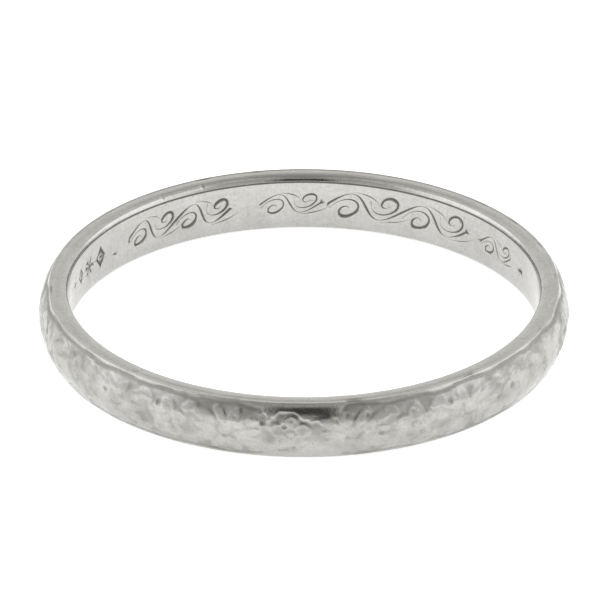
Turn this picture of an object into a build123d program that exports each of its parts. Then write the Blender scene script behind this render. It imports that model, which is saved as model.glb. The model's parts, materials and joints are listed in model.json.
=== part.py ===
"""A plain-bored, domed wedding band, made the bench way: a struck strip of white gold is bent
round until its two filed ends meet, and the joint is closed with one run of hard solder.

Row frame: millimetres, origin at the centre of the finger hole, half way across the band's
width. +Z runs along the finger, so the band lies flat on a table as it is modelled.
"""

import os
from math import degrees

from build123d import *

# ---- driving dimensions (mm, degrees) ----
finger_diameter = 17.3  # bore of the band, about a US size 7
band_width = 2.2  # along the finger
crown_thickness = 1.09  # bore to the top of the dome, the thickest place
rim_thickness = 0.68  # bore to the outer edge of the flat side
inner_bevel = 0.18  # rounding where each side runs into the bore
outer_easing = 0.05  # small rounding where each side runs into the dome
seam_gap = 0.10  # width of the solder between the strip's ends, at the bore
seam_bearing = 104.0  # where the joint lies, counted from +X towards +Y

# ---- worked out from them ----
bore_radius = finger_diameter / 2
crown_radius = bore_radius + crown_thickness
rim_radius = bore_radius + rim_thickness
half_width = band_width / 2
seam_angle = degrees(seam_gap / bore_radius)


def band_section(turned_to):
    """The band's D-shaped section, on the half plane at that bearing. X is the radius, Y is +Z."""
    half_plane = Plane(
        origin=(0, 0, 0),
        x_dir=Vector(1, 0, 0).rotate(Axis.Z, turned_to),
        z_dir=Vector(0, -1, 0).rotate(Axis.Z, turned_to),
    )
    with BuildSketch(half_plane) as section:
        with BuildLine():
            bore = Line((bore_radius, -half_width), (bore_radius, half_width))
            top_side = Line(bore @ 1, (rim_radius, half_width))
            dome = ThreePointArc(top_side @ 1, (crown_radius, 0), (rim_radius, -half_width))
            Line(dome @ 1, bore @ 0)
        make_face()
        by_radius = section.vertices().group_by(Axis((0, 0, 0), half_plane.x_dir))
        fillet(by_radius[0], inner_bevel)
        outer_corners = section.vertices().group_by(Axis((0, 0, 0), half_plane.x_dir))[-1]
        fillet(outer_corners, outer_easing)
    return section.sketch


# ---- band strip: one length of struck strip, bent round, its ends filed to the radius ----
with BuildPart() as band_strip:
    add(band_section(seam_bearing + seam_angle / 2))
    revolve(axis=Axis.Z, revolution_arc=360 - seam_angle)
band_strip.part.label = "band_strip"

# ---- solder seam: the hard solder that fills the joint, filed flush all round ----
with BuildPart() as solder_seam:
    add(band_section(seam_bearing - seam_angle / 2))
    revolve(axis=Axis.Z, revolution_arc=seam_angle)
solder_seam.part.label = "solder_seam"

os.makedirs("parts", exist_ok=True)
for piece in (band_strip, solder_seam):
    export_step(piece.part, f"parts/{piece.part.label}.step")
    print(piece.part.label, "volume", round(piece.part.volume, 3), "mm3", piece.part.bounding_box())
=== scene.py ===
"""A worn white-gold wedding band, made as it is on the bench: a strip is struck between dies,
its bore side is cut with a scroll and punched, and it is bent round and soldered shut."""

import json
from math import asin, atan2, ceil, cos, degrees, hypot, pi, radians, sin, sqrt

import bmesh
import bpy
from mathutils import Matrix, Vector
from mathutils.geometry import delaunay_2d_cdt
from mathutils.kdtree import KDTree


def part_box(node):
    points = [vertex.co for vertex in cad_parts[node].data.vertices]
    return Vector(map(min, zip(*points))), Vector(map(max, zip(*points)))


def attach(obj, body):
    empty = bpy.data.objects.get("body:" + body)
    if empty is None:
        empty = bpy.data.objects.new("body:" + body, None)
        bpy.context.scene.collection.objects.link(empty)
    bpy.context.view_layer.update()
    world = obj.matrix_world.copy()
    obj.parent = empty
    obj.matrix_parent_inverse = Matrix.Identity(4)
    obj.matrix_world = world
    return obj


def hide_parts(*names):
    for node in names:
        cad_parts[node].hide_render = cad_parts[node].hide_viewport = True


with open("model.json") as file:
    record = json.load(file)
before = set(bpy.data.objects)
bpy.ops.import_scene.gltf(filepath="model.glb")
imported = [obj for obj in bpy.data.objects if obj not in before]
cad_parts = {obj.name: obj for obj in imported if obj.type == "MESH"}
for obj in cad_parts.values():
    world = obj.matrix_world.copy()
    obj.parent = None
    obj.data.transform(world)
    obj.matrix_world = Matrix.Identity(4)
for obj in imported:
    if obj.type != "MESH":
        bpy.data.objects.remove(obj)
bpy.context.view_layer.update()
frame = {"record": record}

# ---- sizes, in millimetres and degrees; those of the band itself come from the frame ----
MM = 0.001
bore_mount = next(m for m in frame["record"]["mounts"] if m["name"] == "finger_bore")
seam_low, seam_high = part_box("solder_seam")
seam_middle = (seam_low + seam_high) / 2

BORE = bore_mount["dims"]["r_mm"]
HALF_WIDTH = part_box("band_strip")[1].z / MM
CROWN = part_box("band_strip")[1].x / MM - BORE
BEVEL = HALF_WIDTH - bore_mount["dims"]["length_mm"] / 2
RIM = 0.68
EASING = 0.09
SIDE_LEAN = radians(9)
SEAM_BEARING = degrees(atan2(seam_middle.y, seam_middle.x))
SEAM_GAP = 0.10

DOME_RISE = CROWN - RIM
DOME_RADIUS = (HALF_WIDTH**2 + DOME_RISE**2) / (2 * DOME_RISE)
SEAM_ANGLE = SEAM_GAP / BORE
STRIP_LENGTH = BORE * (2 * pi - SEAM_ANGLE)
FIRST_BEARING = radians(SEAM_BEARING) + SEAM_ANGLE / 2

COLUMNS = 1200
SEAM_COLUMNS = 3
DOME_STEPS = 20
EASING_STEPS = 5
SIDE_STEPS = 4
BEVEL_CUTS = (
    # from the side face down to the bore: slope in degrees, share of the way
    (12, 0.07), (22, 0.06), (36, 0.045), (50, 0.035), (58, 0.06), (64, 0.09), (76, 0.02),
)
LINE_WIDTH = 0.065
LINE_DEPTH = 0.05
LEVEL = 1e-5
OFF_THE_BORE = LEVEL * 9

# how dark with dirt and painted shade, as a share of the deepest cuts
LIP_DIRT_AND_SHADE = 0.4
LINE_EDGE_DIRT_AND_SHADE = 0.5
LINE_DIRT_AND_SHADE = 0.6


# ---- nodes, written as expressions ----
class Value:
    """One output of a node tree. Arithmetic on it adds Math nodes."""

    def __init__(self, tree, socket):
        self.tree = tree
        self.socket = socket

    def maths(self, operation, *others):
        return self.tree.node("ShaderNodeMath", {"operation": operation}, [self, *others])

    def __add__(self, other):
        return self.maths("ADD", other)

    def __sub__(self, other):
        return self.maths("SUBTRACT", other)

    def __rsub__(self, other):
        return self.tree.node("ShaderNodeMath", {"operation": "SUBTRACT"}, [other, self])

    def __mul__(self, other):
        return self.maths("MULTIPLY", other)

    def __truediv__(self, other):
        return self.maths("DIVIDE", other)

    def __rtruediv__(self, other):
        return self.tree.node("ShaderNodeMath", {"operation": "DIVIDE"}, [other, self])

    __radd__ = __add__
    __rmul__ = __mul__

    def lower(self, other):
        return self.maths("MINIMUM", other)

    def higher(self, other):
        return self.maths("MAXIMUM", other)

    def blended_over(self, other, softness):
        """The higher of the two, with a soft hollow where they meet."""
        return self.maths("SMOOTH_MAX", other, softness)

    def size(self):
        return self.maths("ABSOLUTE")

    def root(self):
        return self.higher(0.0).maths("SQRT")

    def cosine(self):
        return self.maths("COSINE")

    def sine(self):
        return self.maths("SINE")

    def part_over_whole(self):
        """What is left after the nearest whole number is taken off, -0.5 to 0.5."""
        return self - self.maths("ROUND")

    def step(self, low, high):
        """A smooth 0 to 1 as the value goes from low to high, or back where low is the larger."""
        settings = {"interpolation_type": "SMOOTHSTEP", "clamp": True}
        return self.tree.node("ShaderNodeMapRange", settings, {"Value": self, 1: low, 2: high})


class Tree:
    """A node tree that is being wired up."""

    def __init__(self, tree):
        self.tree = tree

    def node(self, kind, settings=None, sockets=None, out=0):
        """Adds a node: its settings are set first, then its sockets by place or by name."""
        made = self.tree.nodes.new(kind)
        for name, value in (settings or {}).items():
            setattr(made, name, value)
        given = sockets.items() if isinstance(sockets, dict) else enumerate(sockets or [])
        for key, value in given:
            if isinstance(value, Value):
                self.tree.links.new(value.socket, made.inputs[key])
            else:
                made.inputs[key].default_value = value
        return Value(self, made.outputs[out]) if len(made.outputs) else made

    def also(self, value, out):
        """Another output of the node that made this value."""
        return Value(self, value.socket.node.outputs[out])

    def split(self, vector):
        """The three parts of a vector."""
        first = self.node("ShaderNodeSeparateXYZ", {}, [vector])
        return first, self.also(first, 1), self.also(first, 2)

    def vector(self, x, y, z):
        return self.node("ShaderNodeCombineXYZ", {}, [x, y, z])

    def noise(self, vector, scale, detail=2.0, roughness=0.5):
        sockets = {"Vector": vector, "Scale": scale, "Detail": detail, "Roughness": roughness}
        return self.node("ShaderNodeTexNoise", {"noise_dimensions": "3D"}, sockets)

    def attribute(self, name, data_type):
        settings = {"data_type": data_type}
        return self.node("GeometryNodeInputNamedAttribute", settings, {"Name": name})

    def mix_colour(self, factor, first, second):
        sockets = {0: factor, 6: first, 7: second}
        return self.node("ShaderNodeMix", {"data_type": "RGBA"}, sockets, out=2)


def geometry_tree(name, inputs):
    """A Geometry Nodes tree with a geometry in and out and these named number inputs."""
    group = bpy.data.node_groups.new(name, "GeometryNodeTree")
    group.interface.new_socket("Geometry", in_out="INPUT", socket_type="NodeSocketGeometry")
    group.interface.new_socket("Geometry", in_out="OUTPUT", socket_type="NodeSocketGeometry")
    for label, kind in inputs.items():
        group.interface.new_socket(label, in_out="INPUT", socket_type=kind)
    tree = Tree(group)
    start = tree.node("NodeGroupInput")
    given = {o.name: Value(tree, o) for o in start.socket.node.outputs if o.name}
    return tree, given


def finish_tree(tree, geometry, material=None):
    """Ends a tree: instances are realized and the material is set."""
    geometry = tree.node("GeometryNodeRealizeInstances", {}, {"Geometry": geometry})
    if material:
        sockets = {"Geometry": geometry, "Material": material}
        geometry = tree.node("GeometryNodeSetMaterial", {}, sockets)
    tree.node("NodeGroupOutput", {}, [geometry])


def apply_tree(tree, mesh, values, name):
    """The plain mesh that the tree makes of a mesh, with these values on its inputs."""
    blank = bpy.data.objects.new(name, mesh)
    bpy.context.scene.collection.objects.link(blank)
    modifier = blank.modifiers.new(name, "NODES")
    modifier.node_group = tree.tree
    for item in tree.tree.interface.items_tree:
        if item.in_out == "INPUT" and item.name in values:
            modifier[item.identifier] = values[item.name]
    bpy.context.view_layer.update()
    evaluated = blank.evaluated_get(bpy.context.evaluated_depsgraph_get())
    result = bpy.data.meshes.new_from_object(evaluated)
    bpy.data.objects.remove(blank)
    return result


# ---- the strip's section ----
def quarter_points():
    """The section from the middle of the dome down to the edge of the bore, on its upper half:
    (height above the bore, place across the band, direction outwards in two parts, distance
    across)."""
    dome_middle = CROWN - DOME_RADIUS
    easing_height = HALF_WIDTH - EASING
    easing_out = dome_middle + sqrt((DOME_RADIUS - EASING) ** 2 - easing_height**2)
    dome_end = asin(easing_height / (DOME_RADIUS - EASING))
    points = []
    for step in range(DOME_STEPS + 1):
        turn = dome_end * step / DOME_STEPS
        out, across = cos(turn), sin(turn)
        place = (dome_middle + DOME_RADIUS * out, DOME_RADIUS * across)
        points.append((*place, out, across, DOME_RADIUS * turn))

    # the worn outer edge
    side = DOME_RADIUS * dome_end
    for step in range(1, EASING_STEPS):
        turn = dome_end + (pi / 2 - SIDE_LEAN - dome_end) * step / EASING_STEPS
        place = (easing_out + EASING * cos(turn), easing_height + EASING * sin(turn))
        points.append((*place, cos(turn), sin(turn), side + EASING * (turn - dome_end)))

    # the side face, worn a little round
    bevel_run = sum(share * cos(radians(slope)) for slope, share in BEVEL_CUTS)
    bevel_fall = sum(share * sin(radians(slope)) for slope, share in BEVEL_CUTS)
    reach = BEVEL * bevel_run / bevel_fall
    flat_middle, flat_half = (easing_out + reach) / 2, (easing_out - reach) / 2
    drop = SIDE_LEAN * flat_half / 2
    for step in range(SIDE_STEPS + 1):
        share = 1 - 2 * step / SIDE_STEPS
        out, lean = flat_middle + flat_half * share, SIDE_LEAN * share
        distance = side + easing_out - out
        points.append((out, HALF_WIDTH - drop * share * share, sin(lean), cos(lean), distance))

    # the bevel, steeper facet by facet
    height, level, distance = reach, HALF_WIDTH - drop, side + easing_out - reach
    for (slope, share), (next_slope, _) in zip(BEVEL_CUTS, (*BEVEL_CUTS[1:], (90, 0))):
        height -= share * cos(radians(slope)) * BEVEL / bevel_fall
        level -= share * sin(radians(slope)) * (BEVEL - drop) / bevel_fall
        distance += share * BEVEL / bevel_fall
        turn = radians((slope + next_slope) / 2)
        points.append((height, level, -sin(turn), cos(turn), distance))
    return points


def section_mesh():
    """The whole section as loose points in order, with their directions, distances across and
    dirt and painted shade as attributes. The upper edge of the bore has a scribed line, whose
    far side is a hair off the bore, so that engraving leaves it alone. The lower edge is plain."""
    upper = [(*point, 0.0) for point in quarter_points()]
    lower = [(y, -z, out_y, -out_z, -across, 0.0) for y, z, out_y, out_z, across, _ in upper[1:]]
    lip, far = HALF_WIDTH - BEVEL, upper[-1][4]
    # the bevel's lip and the scribed line are darkened in the finish: dirt and painted shade in the
    # crease
    upper[-1] = (*upper[-1][:5], LIP_DIRT_AND_SHADE)
    line = [
        (0.0, lip - LINE_WIDTH * 1.2, -1.0, 0.0, far + 0.1, 0.0),
        (OFF_THE_BORE, lip - LINE_WIDTH, -1.0, 0.0, far + 0.1, LINE_EDGE_DIRT_AND_SHADE),
        (LINE_DEPTH, lip - LINE_WIDTH / 2, -1.0, 0.0, far + 0.05, LINE_DIRT_AND_SHADE),
    ]
    loop = line + upper[::-1] + lower
    mesh = bpy.data.meshes.new("section")
    mesh.from_pydata([(0.0, y, z) for y, z, *_ in loop], [], [])
    out = mesh.attributes.new("out", "FLOAT_VECTOR", "POINT")
    out.data.foreach_set("vector", [v for p in loop for v in (0.0, p[2], p[3])])
    for place, name in ((4, "across"), (5, "cut")):
        layer = mesh.attributes.new(name, "FLOAT", "POINT")
        layer.data.foreach_set("value", [p[place] for p in loop])
    return mesh, len(loop)


def at(bearing):
    """How far along the flat strip a bearing on the finished ring is."""
    return BORE * ((radians(bearing) - FIRST_BEARING) % (2 * pi))


# ---- striking: the dies' blossom pattern, and what years of wear did to it ----
PATTERN_EDGE = 1.07
PATTERN_DEPTH = 0.046
PATTERN_WEAR = 0.7
BLOSSOMS = 13
BLOSSOM_BEARING = 267.0
STRAY_ALONG = 0.40
STRAY_ACROSS = 0.26
MEETING_SOFTNESS = 0.22
CHASED_DEPTH = 0.034
PITTED_DEPTH = 0.025
ROLLING_WEAR = 0.022
RIPPLE_WEAR = 0.007
# how much darker a pit is painted for each millimetre of depth: grime and painted shade
PIT_GRIME_AND_SHADE_PER_MM = 22
KNOCK_HEIGHT = 0.10
KNOCK_WIDTH = 0.12

STRIKE_INPUTS = {
    "Section": "NodeSocketObject",
    "Rows": "NodeSocketInt",
    "Columns": "NodeSocketInt",
    "Start": "NodeSocketFloat",
    "Length": "NodeSocketFloat",
    "Blossoms": "NodeSocketInt",
    "Blossom Turn": "NodeSocketFloat",
    "Depth": "NodeSocketFloat",
    "Wear": "NodeSocketFloat",
}
BROAD_BORDER = (
    # where the plain border reaches further in: bearing, half-length in degrees, how far in
    (269.6, 8.0, 0.24), (273.3, 4.2, 0.28), (262.6, 1.5, 0.20),
)
LEAVES = (
    # place along and across, half-length, half-width, degrees turned, how deep the vein is
    (0.86, 0.45, 0.56, 0.24, 24, 0.45),
    (0.30, 0.58, 0.42, 0.22, 52, 0.4),
    (1.40, 0.68, 0.36, 0.20, -24, 0.3),
)
KNOCKS = (
    # bearing, height above the bore, side (1 is the upper), half-length along, depth
    (127.0, 0.06, 1, 0.10, 0.030),
    (115.6, 0.09, 1, 0.08, 0.025),
    (229.0, 0.52, 1, 0.20, 0.015),
    (331.0, 0.36, 1, 0.14, 0.015),
    (18.0, 0.62, 1, 0.45, 0.030),
    (64.0, 0.30, -1, 0.18, 0.025),
    (300.0, 0.12, -1, 0.15, 0.030),
    (171.0, 0.55, -1, 0.22, 0.020),
)
PITS = (
    # bearing, distance across, half-length along, half-width across, depth
    (261.1, 0.57, 0.15, 0.25, 0.046),
    (265.8, 0.32, 0.11, 0.10, 0.033),
    (279.2, 0.72, 0.09, 0.13, 0.025),
    (283.8, 0.68, 0.08, 0.14, 0.025),
    (286.8, -0.12, 0.14, 0.10, 0.022),
    (303.2, 0.56, 0.12, 0.16, 0.030),
    (209.2, 0.72, 0.15, 0.12, 0.030),
    (222.2, 0.22, 0.13, 0.10, 0.028),
    (237.0, 0.54, 0.10, 0.18, 0.033),
    (194.5, 0.42, 0.12, 0.14, 0.028),
    (321.0, 0.15, 0.12, 0.18, 0.025),
)


def petal(along, across, centre, half_length, half_width, turned, vein=0.0, cup=0.0):
    """1 on the middle of a petal or leaf, 0 on its outline and less outside it; a leaf has a vein
    and a petal is cupped."""
    turn = radians(turned)
    off_along, off_across = along - centre[0], across - centre[1]
    lengthways = (off_along * cos(turn) + off_across * sin(turn)) / half_length
    sideways = (off_across * cos(turn) - off_along * sin(turn)) / half_width
    rise = 1.0 - lengthways * lengthways - sideways * sideways
    if vein:
        rise = rise - sideways.size().step(0.35, 0.0) * lengthways.size().step(0.9, 0.4) * vein
    if cup:
        rise = rise - rise.step(0.45, 1.0) * cup
    return rise


def highest(shapes):
    """All the shapes as one, with soft hollows where they meet."""
    top = shapes[0]
    for shape in shapes[1:]:
        top = top.blended_over(shape, MEETING_SOFTNESS)
    return top


def blossom_height(along, across):
    """One repeat centred on a blossom: five petals round an eye."""
    petals = []
    for index in range(5):
        bearing = 90 + 72 * index
        centre = (0.44 * cos(radians(bearing)), 0.44 * sin(radians(bearing)))
        petals.append(petal(along, across, centre, 0.41, 0.35, bearing, cup=0.85))
    from_middle = (along * along + across * across).root()
    eye = from_middle.step(0.16, 0.05)
    return (highest(petals) - from_middle.step(0.25, 0.14)).higher(eye)


def leaf_height(along, across, half_pitch):
    """The leaves and bud that fill the strip between two blossoms, centred half way."""
    shapes = [petal(along, across, (0.0, 0.08), 0.30, 0.26, 20, vein=0.5)]
    for side in (-1, 1):
        stalk = (half_pitch * 0.34 * side, -0.04)
        shapes.append(petal(along, across, stalk, 0.52, 0.20, 12 * side))
        for up in (-1, 1):
            for out, over, half_length, half_width, turned, vein in LEAVES:
                centre = (side * out, up * over)
                turned = turned * side * up
                shapes.append(petal(along, across, centre, half_length, half_width, turned, vein))
    return highest(shapes)


def broad_border(turn):
    """How much further in than elsewhere the plain border reaches."""
    broad = 0.0
    for bearing, half, far_in in BROAD_BORDER:
        near = (turn + FIRST_BEARING - radians(bearing)).cosine()
        broad = near.step(cos(radians(half * 1.3)), cos(radians(half * 0.7))) * far_in + broad
    return broad


def pattern(tree, given, turn, place, across):
    """The pattern, a little astray as hand-cut dies are: how raised the metal is, where the
    plain border is, and the groove chased inside the border."""
    astray = tree.noise(place, 0.9)
    astray_two = tree.noise(tree.vector(turn.sine() * BORE, across, turn.cosine() * BORE), 0.8)
    jitter = (tree.noise(place, 2.4) - 0.5) * 0.10
    pitch = (2 * pi * (BORE + CROWN)) / given["Blossoms"]
    phase = (turn - given["Blossom Turn"]) * given["Blossoms"] / (2 * pi)
    on_blossom = phase.part_over_whole() * pitch + (astray - 0.5) * STRAY_ALONG + jitter
    on_leaf = (phase + 0.5).part_over_whole() * pitch + (astray_two - 0.5) * STRAY_ALONG - jitter
    strayed = across + (astray_two - 0.5) * STRAY_ACROSS + jitter
    leaves = leaf_height(on_leaf, strayed, pitch / 2)
    raised = blossom_height(on_blossom, strayed).blended_over(leaves, MEETING_SOFTNESS)

    broad = broad_border(turn)
    wave = (phase * (4 * pi)).cosine() * 0.03 + (astray - 0.5) * 0.28 - broad
    past_edge = across.size() - wave - PATTERN_EDGE
    border = past_edge.step(-0.12, 0.10)
    groove = past_edge.step(-0.14, -0.04) * past_edge.step(0.07, -0.02)
    groove = groove * (astray_two.step(0.35, 0.55) * 0.5 + 0.5) * broad.step(0.20, 0.0)
    groove = groove * (across.step(-0.2, 0.2) * 0.75 + 0.25)
    return raised.step(-0.48, 0.82).higher(border), border, groove


def knocked(along, height, across):
    """How deep the knocks on the edges are."""
    down = 0.0
    for bearing, middle, side, half_length, depth in KNOCKS:
        off = (along - at(bearing)) / half_length
        up = (height - middle) / KNOCK_HEIGHT
        over = (across - side * HALF_WIDTH) / KNOCK_WIDTH
        down = (off * off + up * up + over * over).step(1.0, 0.0) * depth + down
    return down


def sunk_grimy_and_shaded(tree, given, along, across):
    """How far the surface is struck or worn down, and its grime and painted shade."""
    turn = along / BORE
    place = tree.vector(turn.cosine() * BORE, turn.sine() * BORE, across)
    raised, border, groove = pattern(tree, given, turn, place, across)
    worn = tree.noise(place, 0.45, 2.0).step(0.30, 0.70) * given["Wear"]
    patchy = tree.noise(place, 1.5, 3.0).step(0.32, 0.68)
    ground = (1.0 - raised).step(worn * 0.7, 1.0) * (0.60 + patchy * 0.40)
    rolling = tree.noise(place, 1.0, 1.0).step(0.3, 0.7) * ROLLING_WEAR
    ripple = tree.noise(place, 2.6, 2.0).step(0.3, 0.7) * RIPPLE_WEAR
    cells = tree.node("ShaderNodeTexVoronoi", {"feature": "F1"}, {"Vector": place, "Scale": 1.25})
    pitted = cells.step(0.16, 0.02) * across.size().step(1.0, 0.75)
    down = ground * given["Depth"] + groove * CHASED_DEPTH + pitted * PITTED_DEPTH
    down = down + (rolling + ripple) * across.size().step(1.05, 0.6)
    # grime and painted shade: darker towards the upper side and in patches, less on the plain border,
    # then darker on the sunk ground, in the pits and most in the chased groove, where painted shade
    # stands in for their shadow
    darker_upward_and_patchy = (across.step(-0.9, 0.6) * 0.20 + patchy * 0.32) * (1.0 - border * 0.7) + 0.07
    grime = darker_upward_and_patchy + ground * 0.42 + groove * 1.60 + pitted * 0.55
    for bearing, middle, half_length, half_width, depth in PITS:
        off = (along - at(bearing)) / half_length
        over = (across - middle) / half_width
        hollow = (off * off + over * over).step(1.0, 0.1)
        down = down + hollow * depth
        # each pit is painted darker the deeper it is: grime and painted shade
        grime = grime + hollow * (depth * PIT_GRIME_AND_SHADE_PER_MM)
    fades = across.size().step(1.32, 1.14)
    return down * fades, (grime * fades).lower(1.0)


def strike_tree():
    """Sweeps the section into a flat strip, and strikes and wears its outside."""
    tree, given = geometry_tree("struck strip", STRIKE_INPUTS)
    section = tree.node("GeometryNodeObjectInfo", {}, {"Object": given["Section"]}, out=4)

    # a sheet of columns along the strip and rows round its section
    sizes = {"Size X": given["Length"], "Size Y": given["Rows"]}
    counts = {"Vertices X": given["Columns"], "Vertices Y": given["Rows"] + 1.0}
    sheet = tree.node("GeometryNodeMeshGrid", {}, {**sizes, **counts})
    here = tree.node("GeometryNodeInputPosition")
    sheet_x, sheet_y, _ = tree.split(here)
    along = sheet_x + given["Length"] / 2 + given["Start"]
    row = (sheet_y + given["Rows"] / 2).maths("ROUND").maths("MODULO", given["Rows"])

    def of_section(data_type, value):
        settings = {"data_type": data_type, "domain": "POINT"}
        return tree.node("GeometryNodeSampleIndex", settings, {0: section, 1: value, 2: row})

    _, height_here, across_here = tree.split(of_section("FLOAT_VECTOR", here))
    outwards = of_section("FLOAT_VECTOR", tree.attribute("out", "FLOAT_VECTOR"))
    _, out_height, out_across = tree.split(outwards)
    across = of_section("FLOAT", tree.attribute("across", "FLOAT"))
    cut = of_section("FLOAT", tree.attribute("cut", "FLOAT"))

    down, grime = sunk_grimy_and_shaded(tree, given, along, across)
    down = down + knocked(along, height_here, across_here)
    # the grime and painted shade, and how dark the cuts are painted, are kept on the points for the
    # finish
    for name, value in (("grime", grime), ("cut", cut)):
        settings = {"data_type": "FLOAT", "domain": "POINT"}
        sockets = {"Geometry": sheet, "Name": name, "Value": value}
        sheet = tree.node("GeometryNodeStoreNamedAttribute", settings, sockets)
    moved = tree.vector(along, height_here - out_height * down, across_here - out_across * down)
    sheet = tree.node("GeometryNodeSetPosition", {}, {"Geometry": sheet, "Position": moved})
    sheet = tree.node("GeometryNodeMergeByDistance", {}, {"Geometry": sheet, "Distance": 0.0002})
    finish_tree(tree, sheet)
    return tree


def bend_tree(material):
    """Bends the flat strip round the bore, and takes it from millimetres to metres."""
    inputs = {"Bore": "NodeSocketFloat", "First Bearing": "NodeSocketFloat"}
    tree, given = geometry_tree("bent strip", inputs)
    along, height, across = tree.split(tree.node("GeometryNodeInputPosition"))
    bearing = along / given["Bore"] + given["First Bearing"]
    out = (given["Bore"] + height) * MM
    bent = tree.vector(out * bearing.cosine(), out * bearing.sine(), across * MM)
    sockets = {"Geometry": given["Geometry"], "Position": bent}
    ring = tree.node("GeometryNodeSetPosition", {}, sockets)

    # bending this way round turns the faces inside out, so they are turned back
    ring = tree.node("GeometryNodeFlipFaces", {}, {"Mesh": ring})
    finish_tree(tree, ring, material)
    return tree


# ---- engraving: strokes on the flat bore, each a run of (along, across, width) ----
GRAVER_SLOPE = 0.9
HAIR = 0.03
FINE_HAIR = 0.02
SLANT = 0.45
BORE_PACE = 0.25
CLEAR_OF_CUTS = 0.12
SHALLOWEST = 0.004
DARK_FROM = 0.03
WELD = 0.0003
END_CORNERS = 20


def swell(points, hair, full):
    """Gives a line its widths: a hairline at both ends and full in the middle, where the graver
    leans over furthest."""
    last = len(points) - 1
    leans = [max(sin(pi * index / last), 0.0) ** 2.2 for index in range(last + 1)]
    return [(x, y, hair + (full - hair) * lean) for (x, y), lean in zip(points, leans)]


def curl(centre, reach, start, turns, full, side):
    """A scroll that winds in to its middle from a bearing on its outer turn."""
    steps = int(34 * turns)
    line = []
    for step in range(steps + 1):
        share = step / steps
        turn = radians(start) + side * turns * 2 * pi * share
        out = reach * (1 - 0.80 * share**0.8)
        line.append((centre[0] + out * cos(turn) * 1.15, centre[1] + out * sin(turn)))
    return swell(line, HAIR, full)


def tendril(start, lean, length, bow, full):
    """A long thin cut that sweeps away from the stem and bends over at its end."""
    x, y = start
    points = [(x, y)]
    steps = 26
    for step in range(steps):
        turn = radians(lean) + bow * (step / steps) ** 2
        x += length / steps * cos(turn)
        y += length / steps * sin(turn)
        points.append((x, y))
    return swell(points, FINE_HAIR, full)


def running_scroll(first, last, waves, reach, full):
    """A waving stem between two bearings, with a curl and a tendril in each of its bays."""
    start, end = at(first), at(last)
    pace = (end - start) / waves
    way = 1 if pace > 0 else -1
    steps = 30 * waves
    stem = []
    for step in range(steps + 1):
        share = step / steps
        wave = 2 * pi * waves * share
        width = HAIR + (full * 0.75 - HAIR) * cos(wave) ** 2
        stem.append((start + (end - start) * share, reach * sin(wave), width))
    cuts = [stem]
    heading = 0 if way > 0 else 180
    for bay in range(2 * waves):
        side = 1 if bay % 2 else -1
        middle = start + pace * (bay + 0.5) / 2
        centre = (middle + pace * 0.02, side * reach * 0.42)
        start_turn = (90 + 95 * way) * side
        cuts.append(curl(centre, abs(pace) * 0.19, start_turn, 1.35, full, side * way))
        crest = (middle + pace * 0.03, -side * reach * 1.18)
        lean, bow = heading + 8 * side * way, 0.7 * side * way
        cuts.append(tendril(crest, lean, abs(pace) * 0.42, bow, HAIR * 1.6))
    return slanted(cuts)


def slanted(cuts):
    """The cuts leaning as a right-handed engraver's do."""
    return [[(x - y * SLANT, y, width) for x, y, width in cut] for cut in cuts]


def dot(bearing, across, size):
    """A round peck of the graver's point."""
    x = at(bearing)
    ends = size * 0.3
    return [(x - ends, across, size * 0.7), (x, across, size), (x + ends, across, size * 0.7)]


def rosette(bearing, across, reach, full):
    """A punch mark of six short petals."""
    x = at(bearing)
    cuts = []
    for turn in range(0, 360, 60):
        along, up = reach * cos(radians(turn)), reach * sin(radians(turn))
        line = [(x + along * out, across + up * out) for out in (0.35, 0.5, 0.65, 0.8, 1.0)]
        cuts.append(swell(line, HAIR, full))
    return cuts


def lozenge(bearing, across, half_length, half_height, width):
    """A punch mark of a lozenge with a dot in it."""
    x = at(bearing)
    corners = []
    for turn in range(0, 361, 90):
        along, up = half_length * cos(radians(turn)), half_height * sin(radians(turn))
        corners.append((x + along, across + up, width))
    return [corners, dot(bearing, across, width * 1.1)]


def strokes():
    """All the cuts on the bore: a running scroll, broken at the joint, and plain punch marks."""
    cuts = running_scroll(138.5, 108.5, 2, 0.46, 0.155)
    cuts += running_scroll(101.0, 86.0, 1, 0.38, 0.09)
    cuts += running_scroll(84.0, 46.0, 2, 0.48, 0.15)
    cuts += running_scroll(40.5, 28.0, 1, 0.36, 0.11)
    cuts += lozenge(150.4, 0.0, 0.28, 0.40, 0.13)
    cuts += rosette(156.4, 0.0, 0.36, 0.15)
    cuts += lozenge(161.8, 0.0, 0.20, 0.30, 0.09)
    cuts += rosette(166.8, 0.0, 0.22, 0.07)
    cuts += [dot(144.0, -0.30, 0.11), dot(22.5, -0.1, 0.15)]
    return cuts


def offset_lines(stroke):
    """The two edges of a stroke."""
    left, right = [], []
    last = len(stroke) - 1
    for index, (x, y, width) in enumerate(stroke):
        before, after = stroke[max(index - 1, 0)], stroke[min(index + 1, last)]
        dx, dy = after[0] - before[0], after[1] - before[1]
        length = hypot(dx, dy) or 1.0
        nx, ny = -dy / length * width / 2, dx / length * width / 2
        left.append((x + nx, y + ny))
        right.append((x - nx, y - ny))
    return left, right


def fill_in(stroke, spacing=0.02):
    """A stroke's middle line with points close together, for measuring depths."""
    dense = []
    for first, second in zip(stroke, stroke[1:]):
        parts = max(1, ceil(hypot(second[0] - first[0], second[1] - first[1]) / spacing))
        for part in range(parts):
            dense.append(tuple(a + (b - a) * part / parts for a, b in zip(first, second)))
    return dense + [stroke[-1]]


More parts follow.
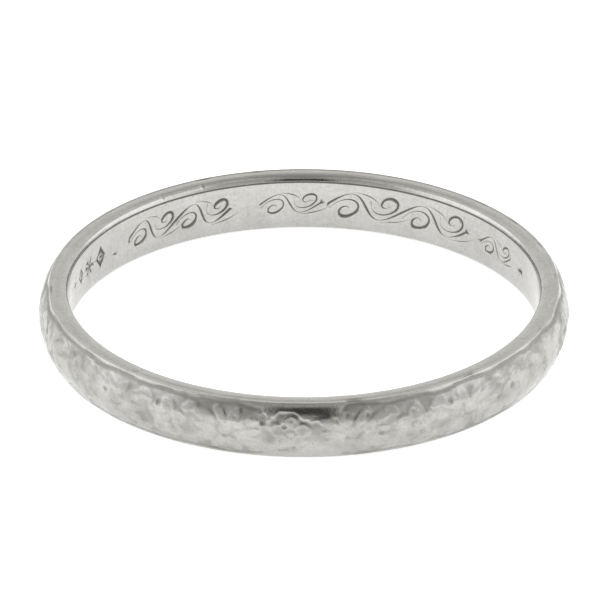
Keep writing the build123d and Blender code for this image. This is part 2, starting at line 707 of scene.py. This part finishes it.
def depth_gauge(cuts):
    """Two functions of a place on the bore: how far inside the edge of the widest cut there it
    is, 0 outside them all, and how far it is from the nearest cut's middle line."""
    dense = [sample for cut in cuts for sample in fill_in(cut)]
    tree = KDTree(len(dense))
    for index, (x, y, _) in enumerate(dense):
        tree.insert((x, y, 0.0), index)
    tree.balance()
    reach = max(width for *_, width in dense) / 2

    def inside(x, y):
        found = tree.find_range((x, y, 0.0), reach)
        return max((dense[i][2] / 2 - away for _, i, away in found), default=0.0)

    def away(x, y):
        return tree.find((x, y, 0.0))[2]

    return inside, away


def on_bore(face):
    """Whether a face of the flat strip is part of the plain bore."""
    return all(abs(v.co.y) < LEVEL for v in face.verts)


def engrave(model, cuts):
    """Replaces the plain bore of the flat strip with one that carries the cuts, each a V as deep
    as the graver's slope makes it."""
    bore_faces = [f for f in model.faces if on_bore(f)]
    border = {v for f in bore_faces for v in f.verts}
    top = sorted((v for v in border if v.co.z > 0), key=lambda v: v.co.x)
    bottom = sorted((v for v in border if v.co.z < 0), key=lambda v: v.co.x)
    bmesh.ops.delete(model, geom=bore_faces, context="FACES")

    # the bore's outline, both edges and the middle of each cut, and points on the plain metal
    points, edges = [], []

    def chain(line):
        first = len(points)
        points.extend(line)
        edges.extend((i, i + 1) for i in range(first, len(points) - 1))

    chain([(v.co.x, v.co.z) for v in bottom + top[::-1]])
    edges.append((len(points) - 1, 0))
    for cut in cuts:
        left, right = offset_lines(cut)
        for line in (left, right, [(x, y) for x, y, _ in cut]):
            chain(line)
    inside, away = depth_gauge(cuts)
    for column in range(1, int(STRIP_LENGTH / BORE_PACE)):
        for row in range(-3, 4):
            spot = (column * BORE_PACE, row * BORE_PACE)
            if away(*spot) > CLEAR_OF_CUTS:
                points.append(spot)

    flat, _, faces, *_ = delaunay_2d_cdt([Vector(p) for p in points], edges, [], 1, 1e-6)
    cut_layer = model.verts.layers.float["cut"]
    made = []
    for spot in flat:
        deep = inside(*spot)
        deep = deep if deep > SHALLOWEST else 0.0
        vert = model.verts.new((spot.x, deep * GRAVER_SLOPE, spot.y))
        # the deeper the cut, the darker the finish paints it: dirt and painted shade in the V
        vert[cut_layer] = min(1.0, deep / DARK_FROM)
        made.append(vert)
    for face in faces:
        model.faces.new([made[i] for i in face])
    bmesh.ops.remove_doubles(model, verts=model.verts, dist=WELD)


def close_up(mesh, cuts=()):
    """The flat strip as one closed piece, engraved, with its ends capped and its cuts' edges crisp."""
    model = bmesh.new()
    model.from_mesh(mesh)
    if cuts:
        engrave(model, cuts)
    bmesh.ops.holes_fill(model, edges=[e for e in model.edges if e.is_boundary], sides=0)
    bmesh.ops.recalc_face_normals(model, faces=model.faces)
    for edge in model.edges:
        one, other = edge.link_faces
        if all(abs(v.co.y) < LEVEL and abs(v.co.z) < HALF_WIDTH - BEVEL for v in edge.verts):
            edge.smooth = on_bore(one) == on_bore(other)
        elif len(one.verts) > END_CORNERS or len(other.verts) > END_CORNERS:
            edge.smooth = False
    closed = bpy.data.meshes.new("closed strip")
    model.to_mesh(closed)
    model.free()
    return closed


# ---- finishes ----
def start_material(name):
    """A new material's tree, its shader, and the point in millimetres."""
    material = bpy.data.materials.new(name)
    material.use_nodes = True
    material.node_tree.nodes.clear()
    tree = Tree(material.node_tree)
    shader = tree.node("ShaderNodeBsdfPrincipled").socket.node
    output = tree.node("ShaderNodeOutputMaterial")
    tree.tree.links.new(shader.outputs[0], output.inputs["Surface"])
    place = tree.node("ShaderNodeTexCoord", out=3)
    place = tree.node("ShaderNodeVectorMath", {"operation": "SCALE"}, {0: place, "Scale": 1 / MM})
    return material, tree, shader, place


def feed(tree, shader, **sockets):
    """Gives the shader's sockets their values, linked where they vary over the surface."""
    for name, value in sockets.items():
        socket = shader.inputs[name.replace("_", " ")]
        if isinstance(value, Value):
            tree.tree.links.new(value.socket, socket)
        else:
            socket.default_value = value


# the dulled colours are darker: with them the wiped streaks paint sheen into the colour, as well as
# wear
POLISHED = (0.540, 0.535, 0.519, 1.0)
DULLED_LESS_SHEEN = (0.395, 0.390, 0.376, 1.0)
SOLDER_POLISHED = (0.532, 0.522, 0.498, 1.0)
SOLDER_DULLED_LESS_SHEEN = (0.389, 0.380, 0.360, 1.0)
# tarnish, also the colour of the painted shade in the cuts, the groove and on the sunk ground
TARNISH_AND_SHADE = (0.100, 0.094, 0.068, 1.0)
SCRATCH_DEPTH = 0.006


def old_polish(tree, place):
    """Years of wiping and wear: how dull the metal is here and there, which in the colour also paints
    the wiped streaks' sheen, and its fine scratches.
    """
    x, y, z = tree.split(place)
    out = (x * x + y * y).root()
    round_the_band = tree.noise(tree.vector(x * 0.9, y * 0.9, (z + out) * 7.0), 1.3, 4.0, 0.65)
    across_the_band = tree.noise(tree.vector(x * 5.0, y * 5.0, z * 0.5), 1.3, 3.0, 0.6)
    wiped = (round_the_band.step(0.30, 0.70) + across_the_band.step(0.35, 0.75) * 0.6) / 1.6
    cloudy = tree.noise(place, 0.9, 3.0).step(0.35, 0.70)
    grain = tree.noise(place, 9.0, 3.0, 0.6)
    dull_and_sheen = (wiped * 0.36 + cloudy * 0.26 + grain.step(0.35, 0.72) * 0.38).lower(1.0)
    sockets = {"Strength": 0.6, "Distance": SCRATCH_DEPTH * MM, "Height": wiped * 0.6 + grain * 0.5}
    return dull_and_sheen, tree.node("ShaderNodeBump", {}, sockets)


def dirt_and_shade_of(tree, place):
    """How dark the finish is painted: dirt and painted shade on the sunk ground and in the cuts, and
    dirt in specks all over.
    """
    grime = tree.node("ShaderNodeAttribute", {"attribute_name": "grime"}, out=2)
    cut = tree.node("ShaderNodeAttribute", {"attribute_name": "cut"}, out=2)
    specks = tree.noise(place, 10.0, 2.0, 0.6).step(0.66, 0.76) * 0.45
    return (grime.step(0.0, 1.0) * 0.55 + cut.step(0.0, 0.7) * 0.84).higher(specks).lower(1.0)


def white_gold():
    """Old bright polish, duller and darker where it is wiped (wear and painted sheen), and dark with
    dirt and painted shade in the cuts and on the sunk ground.
    """
    material, tree, shader, place = start_material("white gold")
    dull_and_sheen, surface = old_polish(tree, place)
    dirt_and_shade = dirt_and_shade_of(tree, place)
    # duller and darker where wiped: wear and painted sheen
    colour = tree.mix_colour(dull_and_sheen, POLISHED, DULLED_LESS_SHEEN)
    # darker with dirt and painted shade in the cuts and hollows
    colour = tree.mix_colour(dirt_and_shade, colour, TARNISH_AND_SHADE)
    rough = (0.10 + dull_and_sheen * 0.10 + dirt_and_shade * 0.5).lower(1.0)
    feed(tree, shader, Base_Color=colour, Metallic=1.0, Roughness=rough, Normal=surface)
    return material


def gold_solder():
    """Hard solder burnished flush: a shade warmer, with a few pinholes."""
    material, tree, shader, place = start_material("gold solder")
    dull_and_sheen, surface = old_polish(tree, place)
    # duller and darker where wiped: wear and painted sheen
    colour = tree.mix_colour(dull_and_sheen, SOLDER_POLISHED, SOLDER_DULLED_LESS_SHEEN)
    holes = tree.noise(place, 6.0, 2.0).step(0.68, 0.76) * 0.5
    # darker with dirt, pinholes and painted shade in the cuts and hollows
    colour = tree.mix_colour(dirt_and_shade_of(tree, place).higher(holes), colour, TARNISH_AND_SHADE)
    rough = 0.14 + dull_and_sheen * 0.14
    feed(tree, shader, Base_Color=colour, Metallic=1.0, Roughness=rough, Normal=surface)
    return material


# ---- the two pieces ----
def struck(section, rows, columns, start, length):
    """A flat length of struck strip."""
    values = {
        "Section": section, "Rows": rows, "Columns": columns, "Start": start, "Length": length,
        "Blossoms": BLOSSOMS, "Blossom Turn": radians(BLOSSOM_BEARING) - FIRST_BEARING,
        "Depth": PATTERN_DEPTH, "Wear": PATTERN_WEAR,
    }
    return apply_tree(strike_tree(), bpy.data.meshes.new("blank"), values, "strike")


def bent(flat, material, name):
    """The finished piece: the flat strip bent round the bore."""
    values = {"Bore": BORE, "First Bearing": FIRST_BEARING}
    mesh = apply_tree(bend_tree(material), flat, values, "bend")
    mesh.name = name
    mesh.shade_smooth()
    piece = bpy.data.objects.new(name, mesh)
    bpy.context.scene.collection.objects.link(piece)
    return piece


def make_band():
    """The strip and the seam, struck with the same dies."""
    mesh, rows = section_mesh()
    section = bpy.data.objects.new("section", mesh)
    bpy.context.scene.collection.objects.link(section)
    strip = close_up(struck(section, rows, COLUMNS, 0.0, STRIP_LENGTH), strokes())
    solder = close_up(struck(section, rows, SEAM_COLUMNS, -SEAM_GAP, SEAM_GAP))
    bpy.data.objects.remove(section)
    return bent(strip, white_gold(), "band"), bent(solder, gold_solder(), "seam")


band, seam = make_band()
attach(band, "root")
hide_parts("band_strip")
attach(seam, "root")
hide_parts("solder_seam")


# ---- the table, the tent and the camera ----
TABLE_HALF = 1.5
TABLE_GLOW = 0.62
TABLE_DARKER = (0.90, 0.90, 0.90, 1.0)
TABLE_LIGHTER = (0.93, 0.93, 0.92, 1.0)

# how bright the tent's walls are: (degrees of rise, brightness)
TENT_STOPS = ((0.0, 1.08), (10.0, 1.03), (27.0, 1.02), (45.0, 0.94), (62.0, 0.78))
SLOT_STOPS = ((0.0, 1.08), (10.0, 1.03), (27.0, 0.95), (45.0, 0.46), (62.0, 0.37))
FRONT_STOPS = ((0.0, 1.04), (9.0, 0.80), (20.0, 0.70), (45.0, 0.60), (62.0, 0.42))
SIDE_LIGHT = 0.75
SIDE_TOP = 60.0
SIDE_SOFTNESS = 8.0
GAP_HALF_WIDTH = 15.0
GAP_LOW = 13.0
GAP_HIGH = 43.0
GAP_SOFTNESS = 4.0
GAP_DARKNESS = 0.91
WARM = (1.0, 0.985, 0.955, 1.0)
COOL = (0.985, 0.99, 1.0, 1.0)

CAMERA_RISE = 27.55
CAMERA_AWAY = 400.0
CAMERA_LENS = 653.8
AIM_RIGHT = -0.140
AIM_UP = 0.376


def light_table():
    """A white table lit from below as well as above."""
    material, tree, shader, place = start_material("table")
    colour = tree.mix_colour(tree.noise(place, 0.8, 3.0), TABLE_DARKER, TABLE_LIGHTER)
    feed(tree, shader, Base_Color=colour, Roughness=0.7)
    feed(tree, shader, Emission_Color=(1.0, 1.0, 1.0, 1.0), Emission_Strength=TABLE_GLOW)
    mesh = bpy.data.meshes.new("table")
    level = -HALF_WIDTH * MM
    corners = []
    for x, y in ((-1, -1), (1, -1), (1, 1), (-1, 1)):
        corners.append((x * TABLE_HALF, y * TABLE_HALF, level))
    mesh.from_pydata(corners, [], [(0, 1, 2, 3)])
    mesh.materials.append(material)
    table = bpy.data.objects.new("table", mesh)
    bpy.context.scene.collection.objects.link(table)


def stepped(rise, stops):
    """A brightness that goes smoothly from one stop to the next as the rise grows."""
    glow = stops[0][1]
    for (low, before), (high, after) in zip(stops, stops[1:]):
        glow = rise.step(low, high) * (after - before) + glow
    return glow


def tent():
    """A soft white tent round the table: bright low down, dim in the slot overhead, with a light
    at each side, and at the front the dark gap that the camera looks through."""
    world = bpy.data.worlds.new("tent")
    world.use_nodes = True
    world.node_tree.nodes.clear()
    tree = Tree(world.node_tree)
    x, y, z = tree.split(tree.node("ShaderNodeTexCoord"))
    level = (x * x + y * y).root() + 0.001
    rise = z.maths("ARCSINE") * degrees(1)
    slot = x.size().step(0.14, 0.05)
    walls = stepped(rise, TENT_STOPS)
    glow = walls + (stepped(rise, SLOT_STOPS) - walls) * slot

    aside = (x / level).size()
    sideways = aside.step(cos(radians(46)), cos(radians(24))) * rise.step(4.0, 16.0)
    sideways = sideways * rise.step(SIDE_TOP + SIDE_SOFTNESS, SIDE_TOP - SIDE_SOFTNESS)
    far_edge = sin(radians(GAP_HALF_WIDTH + GAP_SOFTNESS))
    near_edge = sin(radians(GAP_HALF_WIDTH - GAP_SOFTNESS))
    gap = aside.step(far_edge, near_edge) * y.step(0.0, -0.01)
    gap = gap * rise.step(GAP_LOW - GAP_SOFTNESS, GAP_LOW + GAP_SOFTNESS)
    gap = gap * rise.step(GAP_HIGH + GAP_SOFTNESS, GAP_HIGH - GAP_SOFTNESS)
    front = (y / level).step(0.1, -0.5) * rise.step(75.0, 58.0)
    glow = glow + (stepped(rise, FRONT_STOPS) - glow) * front + sideways * SIDE_LIGHT
    glow = glow * (1.0 - gap * GAP_DARKNESS)
    colour = tree.mix_colour(x.size().step(0.3, 0.9), WARM, COOL)
    background = tree.node("ShaderNodeBackground", {}, {"Color": colour, "Strength": glow})
    tree.node("ShaderNodeOutputWorld", {}, {"Surface": background})
    bpy.context.scene.world = world


def camera():
    """Looks down on the ring from the front, from far away."""
    data = bpy.data.cameras.new("camera")
    data.lens = CAMERA_LENS
    view = bpy.data.objects.new("camera", data)
    bpy.context.scene.collection.objects.link(view)
    rise = radians(CAMERA_RISE)
    view.rotation_euler = (pi / 2 - rise, 0, 0)
    up, back = Vector((0, sin(rise), cos(rise))), Vector((0, -cos(rise), sin(rise)))
    view.location = (Vector((AIM_RIGHT, 0, 0)) + up * AIM_UP + back * CAMERA_AWAY) * MM
    bpy.context.scene.camera = view


light_table()
tent()
camera()
bpy.context.scene.view_settings.view_transform = "Standard"
